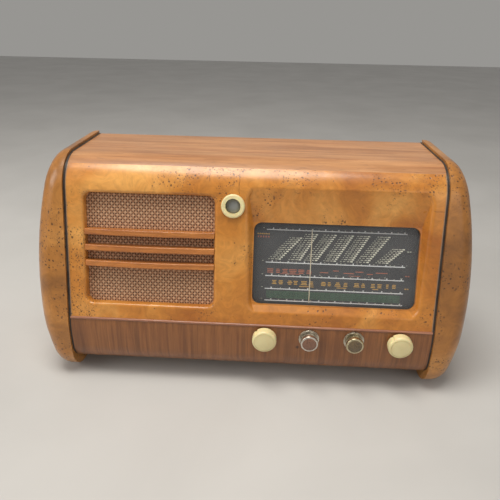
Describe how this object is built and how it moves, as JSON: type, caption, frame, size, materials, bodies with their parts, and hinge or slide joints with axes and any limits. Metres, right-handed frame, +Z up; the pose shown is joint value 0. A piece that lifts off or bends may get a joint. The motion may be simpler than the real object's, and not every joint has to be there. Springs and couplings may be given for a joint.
{
  "type": "tabletop radio",
  "caption": "Valve table radio in a burl-veneered cabinet with rounded cheeks, slatted speaker grille, slanted glass dial, tuning eye and a row of control knobs.",
  "frame": {"origin": "centre of the base, on the table top, halfway between knob faces and cheek backs", "axes": "+X along the width to the right of someone facing the dial, +Y to the back, +Z up"},
  "size_m": [0.663, 0.247, 0.3495],
  "materials": {
    "walnut": "satin french polish, grain along X",
    "burl": "polished burl veneer",
    "band_walnut": "polished, upright grain",
    "ebonised": "black stained, satin",
    "inner_board": "raw plywood",
    "slat_wood": "polished",
    "speaker_cloth": "woven, matt",
    "felt": "pressed felt",
    "black_metal": "satin black lacquer",
    "dial_paint": "matt charcoal with printed scales",
    "cone_paper": "pressed paper",
    "plated_steel": "zinc plated",
    "bright_ring": "polished",
    "brass": "turned",
    "aluminium": "spun",
    "cream_plastic": "polished",
    "brown_plastic": "marbled, polished",
    "black_plastic": "moulded",
    "fibreboard": "pressed card",
    "clear_glass": "clear",
    "valve_glass": "clear with a silvered top",
    "cord_fibre": "braided"
  },
  "bodies": {
    "cabinet": {"top_panel": "walnut", "front_panel": "burl", "lower_band": "band_walnut", "band_bead": "band_walnut", "right_cheek": "burl", "left_cheek": "burl", "bead_strips": "ebonised", "side_boards": "inner_board", "bottom_board": "inner_board", "foot_pads": "felt", "lower_slat": "slat_wood", "middle_slat": "slat_wood", "upper_slat": "slat_wood", "grille_cloth": "speaker_cloth", "baffle_board": "inner_board", "speaker_basket": "black_metal", "speaker_magnet": "black_metal", "speaker_nuts": "plated_steel", "eye_bezel": "cream_plastic", "eye_tube": "valve_glass", "eye_clamp": "plated_steel", "dial_glass": "clear_glass", "dial_clips": "plated_steel", "dial_backplate": "dial_paint", "dial_frame": "plated_steel", "pointer_rail": "plated_steel", "dial_lamps": "valve_glass", "drive_cord": "cord_fibre", "tuning_bush": "brass", "capacitor_frame": "plated_steel", "chassis_pan": "plated_steel", "chassis_bolts": "plated_steel", "mains_transformer": "black_metal", "valve_sockets": "black_plastic", "power_valves": "valve_glass", "signal_valves": "valve_glass", "if_cans": "aluminium", "potentiometers": "plated_steel", "band_switch": "plated_steel", "knob_rings": "bright_ring", "rear_cover": "fibreboard", "rear_cover_screws": "plated_steel", "voltage_selector": "black_plastic", "rear_sockets": "black_plastic", "mains_inlet": "black_plastic"},
    "tuning_gang": {"capacitor_rotor": "aluminium", "drive_drum": "aluminium"},
    "tuning_control": {"tuning_spindle": "plated_steel", "tuning_knob": "cream_plastic"},
    "volume_control": {"volume_shaft": "plated_steel", "volume_knob": "cream_plastic"},
    "tone_control": {"tone_shaft": "plated_steel", "tone_knob": "brown_plastic"},
    "band_control": {"band_shaft": "plated_steel", "band_knob": "brown_plastic"},
    "pointer_carriage": {"pointer": "cream_plastic"},
    "left_cord_pulley": {"left_pulley": "brass"},
    "right_cord_pulley": {"right_pulley": "brass"},
    "voice_cone": {"speaker_cone": "cone_paper"},
    "voltage_plug": {"voltage_cap": "black_plastic"}
  },
  "joints": [
    {"name": "capacitor_turn", "type": "hinge", "parent": "cabinet", "child": "tuning_gang", "pos_m": [0.165, -0.0305, 0.165], "axis": [0, 1, 0], "range_deg": [-60.3, 119.6]},
    {"name": "tuning_turn", "type": "hinge", "parent": "cabinet", "child": "tuning_control", "pos_m": [0.2297, -0.09, 0.09], "axis": [0, 1, 0], "range_deg": [-604, 1197]},
    {"name": "pointer_slide", "type": "slide", "parent": "cabinet", "child": "pointer_carriage", "axis": [1, 0, 0], "range_m": [-0.0685, 0.1358]},
    {"name": "left_pulley_turn", "type": "hinge", "parent": "cabinet", "child": "left_cord_pulley", "pos_m": [0.009, -0.0305, 0.262], "axis": [0, 1, 0], "range_deg": [-491, 973]},
    {"name": "right_pulley_turn", "type": "hinge", "parent": "cabinet", "child": "right_cord_pulley", "pos_m": [0.245, -0.0305, 0.262], "axis": [0, 1, 0], "range_deg": [-491, 973]},
    {"name": "volume_turn", "type": "hinge", "parent": "cabinet", "child": "volume_control", "pos_m": [0.0245, -0.09, 0.09], "axis": [0, 1, 0], "range_deg": [-60, 210]},
    {"name": "tone_turn", "type": "hinge", "parent": "cabinet", "child": "tone_control", "pos_m": [0.0929, -0.09, 0.09], "axis": [0, 1, 0], "range_deg": [-135, 135]},
    {"name": "band_turn", "type": "hinge", "parent": "cabinet", "child": "band_control", "pos_m": [0.1613, -0.09, 0.09], "axis": [0, 1, 0], "range_deg": [-30, 60]},
    {"name": "cone_travel", "type": "slide", "parent": "cabinet", "child": "voice_cone", "axis": [0, -0.972, 0.2351], "range_m": [-0.001, 0.001], "stiffness_N_per_m": 1000},
    {"name": "voltage_turn", "type": "hinge", "parent": "cabinet", "child": "voltage_plug", "pos_m": [-0.012, 0.115, 0.074], "axis": [0, 1, 0], "range_deg": [-120, 120]}
  ],
  "couplings": [
    {"joint": "tuning_turn", "follows": "capacitor_turn", "ratio": 10},
    {"joint": "pointer_slide", "follows": "capacitor_turn", "m_per_rad": 0.065},
    {"joint": "left_pulley_turn", "follows": "capacitor_turn", "ratio": 8.125},
    {"joint": "right_pulley_turn", "follows": "capacitor_turn", "ratio": 8.125}
  ]
}
